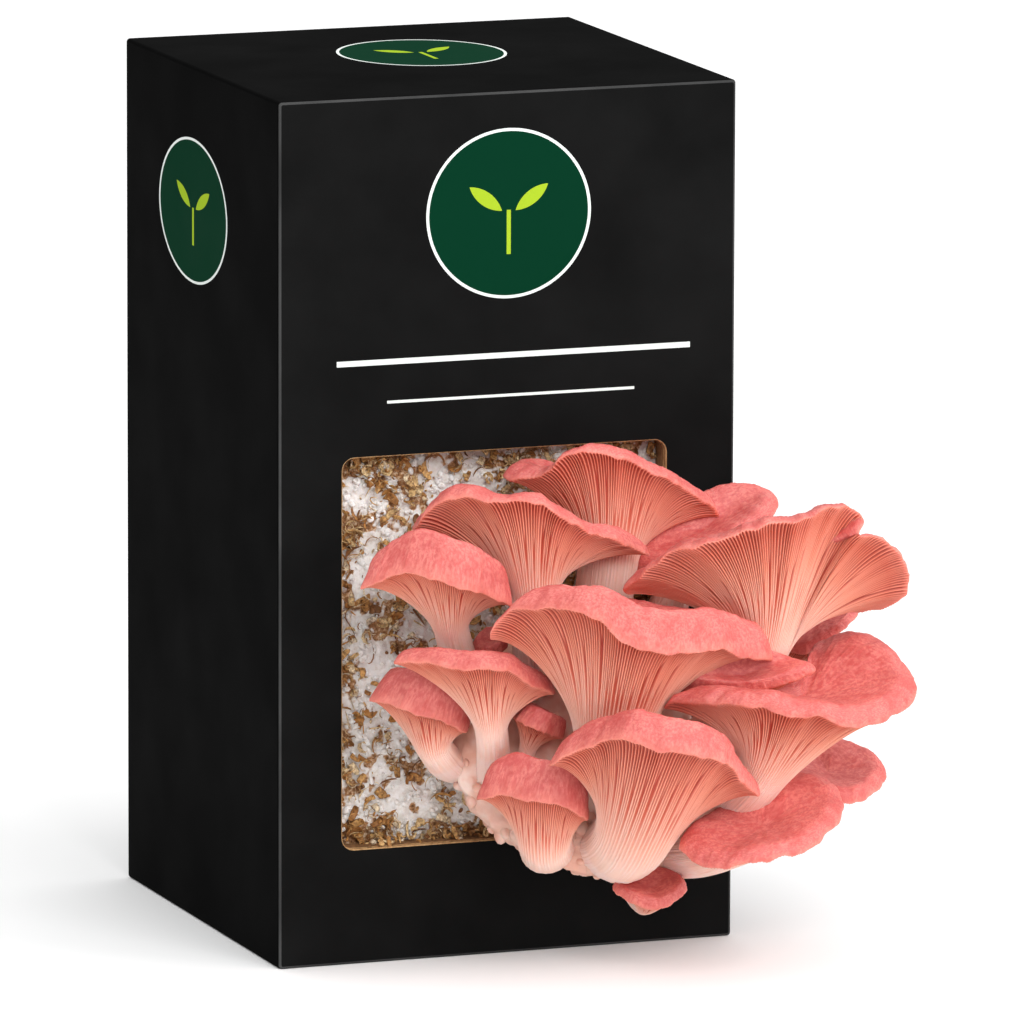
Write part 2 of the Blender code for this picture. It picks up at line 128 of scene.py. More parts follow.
def carton_shell():
    """Rounded rectangles carried along a profile that is a list of (y, half size, corner).

    The rows run from the inside of the back panel along the inner walls, in to the window, over
    its cut edge, out across the front panel, back along the outer walls to the back panel.
    """
    half, centre = carton_size[[0, 2]] / 2, (carton_low + carton_high)[[0, 2]] / 2
    back = carton_high[1]
    inner = [(back - board, half - board, fold), (front + board, half - board, fold)]
    cut_edge = [(front + board, 0), (front + board - paper, 0), (front + board - paper, flute_sink),
                (front + paper, flute_sink), (front + paper, 0), (front + raw_edge, 0)]
    window = [(y, window_half + sink, window_corner + sink) for y, sink in cut_edge]
    face = [(front, window_half + out, window_corner + out) for out in (raw_edge, 2 * raw_edge)]
    face.append((front, half - 1.6 * fold, 0.3 * fold))
    bend = [(fold * (1 - math.cos(a)), half - fold * (1 - math.sin(a)), fold * (0.3 + 0.7 * math.sin(a)))
            for a in np.linspace(0, math.pi / 2, 7)]
    ahead = [(front + y, size, corner) for y, size, corner in bend]
    behind = [(back - y, size, corner) for y, size, corner in reversed(bend)]
    walls = [(front + 1.6 * fold, half, fold), (back - 1.6 * fold, half, fold)]
    last = [(back, half - 1.6 * fold, 0.3 * fold)]
    rows, kraft_rows = [], len(inner) + len(window)
    for k, (y, size, corner) in enumerate(inner + window + face + ahead + walls + behind + last):
        middle = window_middle if len(inner) <= k < kraft_rows + 2 else centre
        flat = outline(size, corner, 6, 24) + middle
        rows.append(np.stack([flat[:, 0], np.full(len(flat), y), flat[:, 1]], axis=1))
    columns = len(rows[0])
    ends = [[centre[0], back - board, centre[1]], [centre[0], back, centre[1]]]
    row = np.arange(len(rows) - 1)
    crease = kraft_rows + len(face) + 1
    # finish 3 goes on the folds round the front panel, a lighter black there as a painted highlight along
    # them
    kind = np.select([row < len(inner), row < kraft_rows, (row >= crease) & (row < crease + 4)], [1, 2, 3])
    finish_of = np.repeat(kind, columns).tolist()
    return (np.concatenate(rows + [ends]), loop_faces(len(rows), columns),
            finish_of + [1] * columns + [0] * columns)


def tint(red, green, blue):
    """Colour from display values of 0 to 255."""
    share = np.array([red, green, blue]) / 255
    linear = np.where(share > 0.04045, ((share + 0.055) / 1.055) ** 2.4, share / 12.92)
    return (*linear.tolist(), 1.0)


class Finish:
    """A material in the making: its nodes, the wires between them and its shader's sockets."""

    def __init__(self, name, **values):
        self.material = bpy.data.materials.new(name)
        self.material.use_nodes = True
        self.tree = self.material.node_tree
        self.shader = self.tree.nodes["Principled BSDF"]
        self.place = self.tree.nodes.new("ShaderNodeTexCoord").outputs["Object"]
        self.wire(self.shader, **values)

    def wire(self, node, **values):
        """Set or wire a node's inputs by name, with _ for a space."""
        for key, value in values.items():
            self.join(node.inputs[key.replace("_", " ")], value)

    def join(self, socket, value):
        if isinstance(value, bpy.types.NodeSocket):
            self.tree.links.new(value, socket)
        else:
            socket.default_value = value

    def math(self, operation, *values):
        node = self.tree.nodes.new("ShaderNodeMath")
        node.operation = operation
        for socket, value in zip(node.inputs, values):
            self.join(socket, value)
        return node.outputs[0]

    def axes(self):
        """X, Y and Z of the piece's own place."""
        node = self.tree.nodes.new("ShaderNodeSeparateXYZ")
        self.join(node.inputs[0], self.place)
        return node.outputs

    def noise(self, scale, detail=3.0, stretch=None, place=None, **values):
        """Noise on the piece's own place, or on another vector, stretched along the axes."""
        where = place or self.place
        if stretch:
            mapping = self.tree.nodes.new("ShaderNodeMapping")
            self.wire(mapping, Vector=where, Scale=stretch)
            where = mapping.outputs["Vector"]
        node = self.tree.nodes.new("ShaderNodeTexNoise")
        self.wire(node, Vector=where, Scale=scale, Detail=detail, **values)
        return node.outputs["Fac"]

    def mark(self, name, output="Fac"):
        node = self.tree.nodes.new("ShaderNodeAttribute")
        node.attribute_name = name
        return node.outputs[output]

    def ramp(self, factor, *stops):
        """Colours at places along a scale from 0 to 1."""
        node = self.tree.nodes.new("ShaderNodeValToRGB")
        self.join(node.inputs["Fac"], factor)
        elements = node.color_ramp.elements
        while len(elements) < len(stops):
            elements.new(1.0)
        for element, (where, colour) in zip(elements, stops):
            element.position = where
            element.color = colour if len(colour) == 4 else (*colour, 1)
        return node.outputs["Color"]

    def tones(self, factor, *stops):
        """Colours at places along a scale from 0 to 1, each stop (place, red, green, blue)."""
        return self.ramp(factor, *((where, tint(*shade)) for where, *shade in stops))

    def fade(self, factor, start, end, low=0.0, high=1.0):
        """Grey that goes from low to high while the factor goes from start to end."""
        return self.ramp(factor, (start, grey(low)), (end, grey(high)))

    def mix(self, factor, low, high):
        node = self.tree.nodes.new("ShaderNodeMix")
        node.data_type = "RGBA"
        for socket, value in ((0, factor), (6, low), (7, high)):
            self.join(node.inputs[socket], value)
        return node.outputs[2]

    def paint(self, colour):
        self.wire(self.shader, Base_Color=colour)

    def glow(self, weight, radius, scale):
        """Light scattered under the surface, as far as the scale times each colour's radius."""
        self.wire(self.shader, Subsurface_Weight=weight, Subsurface_Radius=radius, Subsurface_Scale=scale)

    def bump(self, height, strength, depth):
        node = self.tree.nodes.new("ShaderNodeBump")
        self.wire(node, Strength=strength, Distance=depth, Height=height)
        self.wire(self.shader, Normal=node.outputs["Normal"])


def grey(value):
    return (value, value, value, 1.0)


def printed_board(name, black_low, black_high):
    """Satin black print: green discs in pale rings, each with a plain sprig, and two pale rules.

    The side, top and back panels are painted a deeper black than the front, as painted shade
    beside the lit front. A disc is where the length of (u, v) is under 1, u and v being places
    across and up the panel as shares of its radii. A leaf is where two such circles overlap.
    """
    ink = Finish(name, IOR=1.46, Specular_IOR_Level=0.01)
    mottle = ink.noise(34.0, 4.0)
    colour = ink.ramp(mottle, (0.3, black_low), (0.7, black_high))
    axes = ink.axes()
    # painted shade: every panel but the front is darkened to a deeper black
    shaded_panels = ink.math("GREATER_THAN", axes["Y"], front + fold / 2)
    colour = ink.mix(shaded_panels, colour, tint(6, 6, 6))
    green, pale, lime = tint(6, 50, 32), tint(226, 232, 228), tint(158, 186, 44)

    def share(axis, middle, radius):
        return ink.math("DIVIDE", ink.math("SUBTRACT", axes[axis], middle), radius)

    def within(u, v, centre, radius):
        """1 inside the circle round a place on the disc."""
        squares = (ink.math("POWER", ink.math("ABSOLUTE", ink.math("SUBTRACT", along, middle)), 2.0)
                   for along, middle in zip((u, v), centre))
        return ink.math("LESS_THAN", ink.math("ADD", *squares), radius**2)

    # which panel, its plane, and the axis, middle and radius of u and of v
    discs = [("Y", "LESS_THAN", front + fold / 2, ("X", 0.0, 27.9), ("Z", 240.7, 27.4)),
             ("X", "LESS_THAN", carton_low[0] + fold / 2, ("Y", 8.0, -34.0), ("Z", 233.0, 23.6)),
             ("Z", "GREATER_THAN", carton_high[2] - fold / 2, ("X", 2.5, 27.4), ("Y", 13.0, 30.0))]
    leaf = 0.42  # radius of the circles that the leaves lie between
    lens_gap = 0.34  # how far those circles' middles lie from the leaf's
    for axis, side, plane, across, up in discs:
        panel = ink.math(side, axes[axis], plane)
        u, v = (share(along, middle * MM, radius * MM) for along, middle, radius in (across, up))
        marks = [(within(u, v, (0, 0), 1.0), pale), (within(u, v, (0, 0), 0.965), green)]
        for sign in (-1, 1):
            circles = (within(u, v, (sign * (0.28 + gap * 0.6), 0.18 - gap * 0.8), leaf)
                       for gap in (-lens_gap, lens_gap))
            marks.append((ink.math("MULTIPLY", *circles), lime))
        stalk = ink.math("MULTIPLY", ink.math("LESS_THAN", ink.math("ABSOLUTE", u), 0.025),
                         ink.math("LESS_THAN", ink.math("ABSOLUTE", ink.math("ADD", v, 0.22)), 0.26))
        for inside, shade in [*marks, (stalk, lime)]:
            colour = ink.mix(ink.math("MULTIPLY", panel, inside), colour, shade)
    # a rule's middle x and z, half length and half height
    rules = [(2 * MM, 195 * MM, 60 * MM, 0.9 * MM), (1 * MM, 182 * MM, 42 * MM, 0.45 * MM)]
    for x, z, half_long, half_high in rules:
        inside = ink.math("LESS_THAN", axes["Y"], front + fold / 2)
        for axis, middle, reach in (("X", x, half_long), ("Z", z, half_high)):
            apart = ink.math("ABSOLUTE", share(axis, middle, reach))
            inside = ink.math("MULTIPLY", inside, ink.math("LESS_THAN", apart, 1.0))
        colour = ink.mix(inside, colour, pale)
    ink.paint(colour)
    ink.wire(ink.shader, Roughness=ink.fade(mottle, 0.3, 0.7, 0.6, 0.7))
    grain = ink.noise(700.0, 2.0)
    washboard = ink.noise(60.0, 1.0, (1.0, 1.0, 0.15))
    ink.bump(ink.math("ADD", grain, ink.math("MULTIPLY", washboard, 2.0)), 0.1, 0.06 * MM)
    return ink.material


def bare_kraft(name, dark, middle, light):
    """Kraft paper: long fibres, darker flecks, dull."""
    made = Finish(name, Roughness=0.9)
    fibre = made.noise(800.0, 6.0, (1.0, 1.0, 0.3), Roughness=0.65)
    tone = made.ramp(fibre, (0.3, dark), (0.5, middle), (0.75, light))
    made.paint(tone)
    made.bump(fibre, 0.3, 0.1 * MM)
    return made.material


kraft = bare_kraft("bare_kraft", tint(96, 66, 38), tint(140, 102, 64), tint(178, 140, 98))
cut_kraft = bare_kraft("cut_kraft", tint(140, 102, 62), tint(190, 150, 102), tint(220, 186, 138))
print_black = printed_board("printed_board", tint(17, 17, 17), tint(24, 24, 24))
# a lighter black for the front panel's folds: a painted highlight along the folds
fold_highlight_black = printed_board("fold_highlight_board", tint(50, 50, 50), tint(74, 74, 74))
points, faces, finish_of = carton_shell()
carton = add_piece("carton_shell", points, faces, [print_black, kraft, cut_kraft, fold_highlight_black],
                   ["carton"], "carton", finish_of=finish_of)
carton.data.set_sharp_from_angle(angle=math.radians(35))

flute_pitch = 6.4 * MM
flute_paper = 0.3 * MM


def flute_ribbon():
    """Core paper in the sink of the cut edge: a strip that waves from one paper to the other.

    At distance s round the window the strip's middle lies at sin(2 pi s / pitch) of the swing.
    """
    columns = (20, 260)
    edge = outline(window_half, window_corner, *columns)
    step = np.linalg.norm(np.roll(edge, -1, axis=0) - edge, axis=1)
    run = (np.cumsum(step) - step) / step.sum()
    waves = round(step.sum() / flute_pitch)
    swing = board / 2 - paper - flute_paper / 2
    middle = front + board / 2 + swing * np.sin(2 * np.pi * waves * run)
    corners = [(0.3 * MM, -1), (flute_sink, -1), (flute_sink, 1), (0.3 * MM, 1)]
    rows = []
    for sink, side in corners:
        flat = outline(window_half + sink, window_corner + sink, *columns) + window_middle
        rows.append(np.stack([flat[:, 0], middle + side * flute_paper / 2, flat[:, 1]], axis=1))
    count = len(edge)
    faces = np.array(loop_faces(5, count, ends=False)) % (4 * count)  # the fifth row is the first
    return np.concatenate(rows), faces.tolist()


add_piece("board_flutes", *flute_ribbon(), [cut_kraft], slot="kraft")

# ----------------------------------------
# Liner: a kraft frame glued behind the window, which keeps the substrate off the printed board.
# Its shape is plain, so the modelled piece stays and takes the bare kraft finish.

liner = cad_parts["kraft_liner"]
liner.data.materials.clear()
liner.data.materials.append(kraft)

# ----------------------------------------
# Substrate: a pressed brick of straw and husks that white mycelium has grown through. The
# mycelium stands in soft lumps, and in the hollows between them the amber husks show.

block_low, block_high = (np.array(corner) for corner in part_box("substrate_block"))
lump_height = 3.4 * MM
view_margin = 7 * MM  # the lumps die away this far inside the window's outline


def lattice_noise(where, seed):
    """Smooth random heights from 0 to 1: hashed numbers at whole places, eased in between."""
    cell = np.floor(where).astype(np.int64)
    ease = where - cell
    ease = ease * ease * (3 - 2 * ease)
    total = 0.0
    for corner in np.ndindex(2, 2, 2):
        at = (cell + corner) @ np.array([374761393, 668265263, 961748927]) + seed * 7919
        at = at & 0xFFFFFFFF
        at = ((at ^ (at >> 13)) * 1274126177) & 0xFFFFFFFF
        height = ((at ^ (at >> 16)) & 0xFFFF) / 0xFFFF
        total = total + height * np.prod(np.where(corner, ease, 1 - ease), axis=-1)
    return total


def layered_noise(where, seed, layers=3):
    """Sum of lattice noises, each twice as fine and half as high as the last, from 0 to 1."""
    total = sum(lattice_noise(where * 2**k, seed + k) / 2**k for k in range(layers))
    return total / (2 - 2 ** (1 - layers))


def block_height(where):
    """How far the block's face stands forward at a place: broad lumps, granules and pits."""
    broad = layered_noise(where / (17 * MM), 3, 2)
    granule = layered_noise(where / (3.6 * MM), 11, 3)
    crumb = layered_noise(where / (1.5 * MM), 17, 2)
    return lump_height * (0.6 * broad + 0.8 * granule + 0.3 * crumb - 0.7)


def husk_share(where):
    """Where husks show: 1 in the brown patches, which crowd to the left, the foot and the top."""
    edge = np.minimum(where[..., 0] - window_low[0],
                      np.minimum(where[..., 2] - window_low[1], window_high[1] - where[..., 2]))
    border = np.clip(1 - edge / (16 * MM), 0, 1)
    patch = layered_noise(where / (10 * MM), 29, 3)
    granule = layered_noise(where / (3.6 * MM), 11, 3)
    return np.clip((patch - 0.5) * 3.5 + 0.55 * border + (0.5 - granule) * 3.0 + 0.1, 0, 1)


def block_surface():
    """Rows up the block, each a rounded rectangle in plan, crowded where the window shows them."""
    heights = np.concatenate([np.linspace(block_low[2], window_low[1] - MM, 6)[:-1],
                              np.linspace(window_low[1] - MM, window_high[1] + MM, 220),
                              np.linspace(window_high[1] + MM, block_high[2], 8)[1:]])
    across = np.linspace(-1, 1, 200) * (window_half[0] + MM) + window_middle[0]
    corner = 9 * MM
    arc = np.linspace(0, np.pi / 2, 7)
    plan = [np.stack([across, np.full(len(across), block_low[1])], axis=1)]
    for k, (sx, sy) in enumerate(((1, -1), (1, 1), (-1, 1), (-1, -1))):
        centre = np.array([block_high[0] - corner if sx > 0 else block_low[0] + corner,
                           block_low[1] + corner if sy < 0 else block_high[1] - corner])
        turn = arc + (k - 1) * np.pi / 2
        plan.append(centre + corner * np.stack([np.cos(turn), np.sin(turn)], axis=1))
    plan = np.concatenate(plan)
    rows = np.concatenate([np.broadcast_to(plan, (len(heights), *plan.shape)),
                           np.broadcast_to(heights[:, None, None], (len(heights), len(plan), 1))],
                          axis=2)
    edge = np.minimum(window_half[0] - np.abs(rows[..., 0] - window_middle[0]),
                      window_half[1] - np.abs(rows[..., 2] - window_middle[1]))
    shown = np.clip(edge / view_margin + 0.35, 0, 1) * (rows[..., 1] < block_low[1] + 0.5 * MM)
    rows[..., 1] -= block_height(rows) * shown
    husk = husk_share(rows)
    ends = [[0, 0, block_low[2]], [0, 0, block_high[2]]]
    points = np.concatenate([rows.reshape(-1, 3), ends])
    return points, loop_faces(*rows.shape[:2]), np.append(husk.ravel(), [0.5, 0.5])


def mycelium():
    """White felt over brown crumbs: cottony bump, tan where it is thin."""
    made = Finish("mycelium", Roughness=0.95)
    felt = made.noise(420.0, 6.0, Roughness=0.7)
    crumbs = made.noise(900.0, 4.0, Roughness=0.6)
    white = made.tones(felt, (0.25, 208, 194, 178), (0.45, 242, 238, 234), (0.7, 254, 253, 252))
    brown = made.tones(crumbs, (0.3, 92, 58, 34), (0.5, 176, 128, 84), (0.68, 236, 214, 186))
    thin = made.math("ADD", made.mark("husk"), made.math("SUBTRACT", made.noise(260.0, 5.0), 0.52))
    bare = made.fade(thin, 0.42, 0.62)
    made.paint(made.mix(bare, white, brown))
    made.glow(0.15, (1.0, 0.8, 0.6), 1.2 * MM)
    made.bump(made.math("ADD", felt, crumbs), 0.8, 0.5 * MM)
    return made.material


points, faces, husk = block_surface()
add_piece("mycelium_block", points, faces, [mycelium()], ["substrate_block"], "substrate",
          marks={"husk": husk})


def scattered(count, seed, taste):
    """Places on the shown face, (count, 3), each kept where a random number is below the taste."""
    rng = np.random.default_rng(seed)
    flat = rng.uniform(window_low + 1.2 * MM, window_high - 1.2 * MM, (count * 8, 2))
    where = np.stack([flat[:, 0], np.full(len(flat), block_low[1]), flat[:, 1]], axis=1)
    kept = where[rng.random(len(where)) < taste(where)][:count]
    kept[:, 1] -= block_height(kept)
    return kept, rng


def copies(points, faces):
    """Points (copy, point, xyz) as one list, and the faces of one copy repeated for all of them."""
    one = [np.array(face) for face in faces]
    count, step = points.shape[:2]
    return points.reshape(-1, 3), [(face + k * step).tolist() for k in range(count) for face in one]


def curled_flakes(where, rng, length, width, thickness, curl, lift):
    """Flakes: each a squashed ball of 5 rows of 8 points, bent along its length into a curl.

    A row at share s of the length turns by the curl times s, and lies on that arc.
    """
    count = len(where)
    rows, columns = 5, 8
    share = np.linspace(-1, 1, rows + 2)[1:-1]
    turn = 2 * np.pi * np.arange(columns) / columns
    size = rng.uniform(0.55, 1.3, (count, 1, 1))
    bend = rng.uniform(0.3, 1.0, (count, 1, 1)) * curl
    swell = np.sqrt(1 - share**2)[None, :, None]
    across = np.cos(turn)[None, None] * swell * width * size * rng.uniform(0.5, 1.3, (count, 1, 1))
    proud = np.sin(turn)[None, None] * swell * thickness * size
    angle = bend * share[None, :, None]
    radius = length * size / bend
    along = np.sin(angle) * (radius - proud)
    up = radius - np.cos(angle) * (radius - proud)
    local = np.stack([along + 0 * across, across + 0 * along, up], axis=-1).reshape(count, -1, 3)
    tips = [np.stack([np.sin(s * bend[:, 0]) * radius[:, 0], 0 * radius[:, 0],
                      (1 - np.cos(s * bend[:, 0])) * radius[:, 0]], axis=-1) for s in (-1, 1)]
    local = np.concatenate([local, *tips], axis=1)
    heading = rng.uniform(0, 2 * np.pi, count)
    tilt, roll = rng.normal(0, 0.5, count), rng.normal(0, 0.7, count)
    along_axis = np.stack([np.cos(heading) * np.cos(tilt), -np.sin(tilt),
                           np.sin(heading) * np.cos(tilt)], axis=1)
    across_axis = np.stack([-np.sin(heading), np.zeros(count), np.cos(heading)], axis=1)
    up_axis = np.cross(along_axis, across_axis)
    up_axis *= -np.sign(up_axis[:, 1:2])
    across_axis = np.cross(up_axis, along_axis)
    across_axis, up_axis = (across_axis * np.cos(roll)[:, None] + up_axis * np.sin(roll)[:, None],
                            up_axis * np.cos(roll)[:, None] - across_axis * np.sin(roll)[:, None])
    turned = (local[..., 0:1] * along_axis[:, None] + local[..., 1:2] * across_axis[:, None]
              + local[..., 2:3] * up_axis[:, None])
    middle = where[:, None] - [0, lift, 0]
    points, faces = copies(middle + turned, loop_faces(rows, columns))
    return points, faces, np.repeat(rng.random(count), local.shape[1])


def husk_shell():
    """Dry husk: thin, amber to straw, each piece its own tone, with fine lengthways grain."""
    made = Finish("husk_shell", Roughness=0.6)
    tone = made.tones(made.mark("tone"), (0.0, 122, 78, 38), (0.25, 190, 132, 66),
                      (0.5, 218, 170, 104), (0.75, 236, 206, 152), (1.0, 246, 232, 206))
    fleck = made.noise(1100.0, 4.0)
    flecked = made.fade(fleck, 0.35, 0.6, 0.75, 0)
    made.paint(made.mix(flecked, tone, tint(96, 58, 28)))
    made.bump(fleck, 0.4, 0.15 * MM)
    return made.material


def mycelium_tuft():
    """White tuft of mycelium, soft and matt."""
    made = Finish("mycelium_tuft", Roughness=0.95)
    felt = made.noise(700.0, 5.0)
    tone = made.tones(felt, (0.3, 214, 204, 194), (0.55, 250, 248, 246))
    made.paint(tone)
    made.glow(0.2, (1.0, 0.9, 0.8), MM)
    made.bump(felt, 0.7, 0.4 * MM)
    return made.material


husk_finish = husk_shell()
flake_kinds = [
    # name, count, seed, half length, half width, half thickness, curl, lift, finish, taste for husks
    ("husks", 850, 5, 3.8, 1.1, 0.1, 2.9, 1.4, husk_finish, 0.8),
    ("straw_slivers", 650, 8, 3.8, 0.3, 0.15, 2.8, 1.3, husk_finish, 0.5),
    ("husk_crumbs", 500, 13, 0.9, 0.5, 0.3, 0.7, 0.4, husk_finish, 0.3),
    ("mycelium_tufts", 1700, 21, 1.2, 0.9, 0.6, 0.6, 0.3, mycelium_tuft(), -0.8),
]
for name, count, seed, length, width, thickness, curl, lift, finish, taste in flake_kinds:
    places, draw = scattered(count, seed, lambda at: max(0, -taste) + 0.12 + taste * husk_share(at))
    points, faces, tone = curled_flakes(places, draw, length * MM, width * MM, thickness * MM, curl,
                                        lift * MM)
    add_piece(name, points, faces, [finish], slot="substrate", marks={"tone": tone})

# husks that have dropped on the window's lower edge
draw = np.random.default_rng(41)
count = 130
places = np.stack([draw.uniform(window_low[0] + 4 * MM, window_high[0] - 4 * MM, count),
                   draw.uniform(front + 0.8 * MM, block_low[1], count),
                   window_low[1] + draw.uniform(0.6, 2.2, count) * MM], axis=1)
points, faces, tone = curled_flakes(places, draw, 2.2 * MM, 0.8 * MM, 0.1 * MM, 2.6, 0.0)
add_piece("fallen_husks", points, faces, [husk_finish], slot="substrate", marks={"tone": tone})

# ----------------------------------------
# Cluster base: the knobbly flesh that the stems spring from, where it has pushed out of the
# block, pale pink with small round knots of flesh that never opened into caps.

# rings along the out direction: (out, centre x, centre z, half width, half height) in mm
base_rings = [(-8.6, 13, 74, 33, 27), (-1, 14, 74, 36, 29), (6, 17, 71, 40, 31), (14, 20, 66, 40, 33),
              (22, 27, 56, 35, 27), (28, 31, 46, 28, 18), (32, 32, 40, 17, 10)]
base_tip = (32, 34, 39)


def unit(v):
    return v / np.linalg.norm(v, axis=-1, keepdims=True)


def place(point):
    """(x, distance in front of the carton, z) in millimetres to a place in the frame."""
    x, out, z = point
    return np.array([x * MM, front - out * MM, z * MM])


def smooth_rows(rings, steps):
    """Rows along the smooth curves through the rings' matching points, some steps to each gap.

    A cubic joins each ring to the next; its end slopes are those of the rings either side.
    """
    rings = np.asarray(rings)
    rows = [rings[:1]]
    for k, count in enumerate(steps):
        a, b = rings[k], rings[k + 1]
        before, after = rings[max(k - 1, 0)], rings[min(k + 2, len(rings) - 1)]
        gap = np.linalg.norm(b - a, axis=-1, keepdims=True)
        gap_before = np.maximum(np.linalg.norm(a - before, axis=-1, keepdims=True), 1e-9)
        gap_after = np.maximum(np.linalg.norm(after - b, axis=-1, keepdims=True), 1e-9)
        slope_a = (b - before) / (gap + gap_before) * gap
        slope_b = (after - a) / (gap + gap_after) * gap
        t = (np.arange(1, count + 1) / count)[:, None, None]
        rows.append((2 * t**3 - 3 * t**2 + 1) * a + (t**3 - 2 * t**2 + t) * slope_a
                    + (3 * t**2 - 2 * t**3) * b + (t**3 - t**2) * slope_b)
    return np.concatenate(rows)


def outward_normals(rows):
    """Unit normals of rows that close into loops: across the loop's run and the rows' run."""
    around = np.roll(rows, -1, axis=1) - np.roll(rows, 1, axis=1)
    along = np.gradient(rows, axis=0)
    return unit(np.cross(around, along) + 1e-15)


def base_surface():
    """Ellipses carried outwards, pushed in and out by layered noise into knobs."""
    turn = np.linspace(0, 2 * np.pi, 220, endpoint=False)
    rings = [np.stack([(x + half_width * np.cos(turn)) * MM, np.full(len(turn), front - out * MM),
                       (z + half_height * np.sin(turn)) * MM], axis=1)
             for out, x, z, half_width, half_height in base_rings]
    tip = place(base_tip)
    rings.append(tip + (rings[-1] - tip) * 0.05)
    rows = smooth_rows(rings, [12, 12, 12, 12, 10, 8, 8])
    knob = layered_noise(rows / (5.5 * MM), 41, 4) - 0.5
    rows = rows + outward_normals(rows) * (knob * 5.5 * MM)[..., None]
    return np.concatenate([rows.reshape(-1, 3), [rows[0].mean(axis=0), tip]]), loop_faces(*rows.shape[:2])


def base_flesh():
    """Pale pink flesh, blotched at random from a deeper pink to a near-white bloom."""
    made = Finish("base_flesh", Roughness=0.62)
    blotch = made.noise(120.0, 4.0)
    colour = made.tones(blotch, (0.3, 226, 166, 144), (0.5, 236, 188, 170), (0.7, 246, 218, 206))
    made.paint(colour)
    made.glow(0.3, (1.0, 0.45, 0.3), 2.5 * MM)
    made.bump(made.noise(600.0, 5.0), 0.35, 0.3 * MM)
    return made.material


def knots(count, seed):
    """Round knots on the base's edge: small balls of 6 rows of 10 points, dented by noise."""
    rng = np.random.default_rng(seed)
    rows, columns = 6, 10
    polar = np.linspace(0, np.pi, rows + 2)[1:-1]
    turn = 2 * np.pi * np.arange(columns) / columns
    ball = np.stack([np.sin(polar)[:, None] * np.cos(turn), np.sin(polar)[:, None] * np.sin(turn),
                     -np.cos(polar)[:, None] + 0 * turn], axis=-1).reshape(-1, 3)
    ball = np.concatenate([ball, [[0, 0, -1], [0, 0, 1]]])
    angle = rng.uniform(np.pi * 0.55, np.pi * 2.1, count)
    step = rng.uniform(0, len(base_rings) - 1.01, count)
    table = np.array(base_rings, float)
    lower = table[step.astype(int)]
    ring = lower + (table[step.astype(int) + 1] - lower) * (step % 1)[:, None]
    centre = np.stack([(ring[:, 1] + ring[:, 3] * np.cos(angle)) * MM, front - ring[:, 0] * MM,
                       (ring[:, 2] + ring[:, 4] * np.sin(angle)) * MM], axis=1)
    size = rng.uniform(0.9, 2.8, count) * MM
    points = centre[:, None] + ball[None] * size[:, None, None] * rng.uniform(0.75, 1.2, (count, 1, 3))
    points = points + (layered_noise(points / (3 * MM), 17, 2) - 0.5)[..., None] * 0.8 * MM
    return copies(points, loop_faces(rows, columns))


flesh = base_flesh()
add_piece("base_knobs", *base_surface(), [flesh], ["cluster_base"], "base")
add_piece("base_knots", *knots(260, 77), [flesh], slot="base")

# ----------------------------------------
# Mushrooms: eighteen coral-pink oyster mushrooms, each one flesh from its stem through the flared
# gills to a thin wavy lip and a shallow cap. Close-set gills run down on to the stem, with
# shorter gills started between them towards the lip.

lip_thickness = 1.6 * MM
gill_spacing = 1.15 * MM  # at the lip of a cap whose rim is at least large_rim long
large_rim = 170  # in mm
# columns across one gill's share of the lip, crowded on its blade
blade_columns = np.array([-0.5, -0.22, -0.1, 0.1, 0.22])

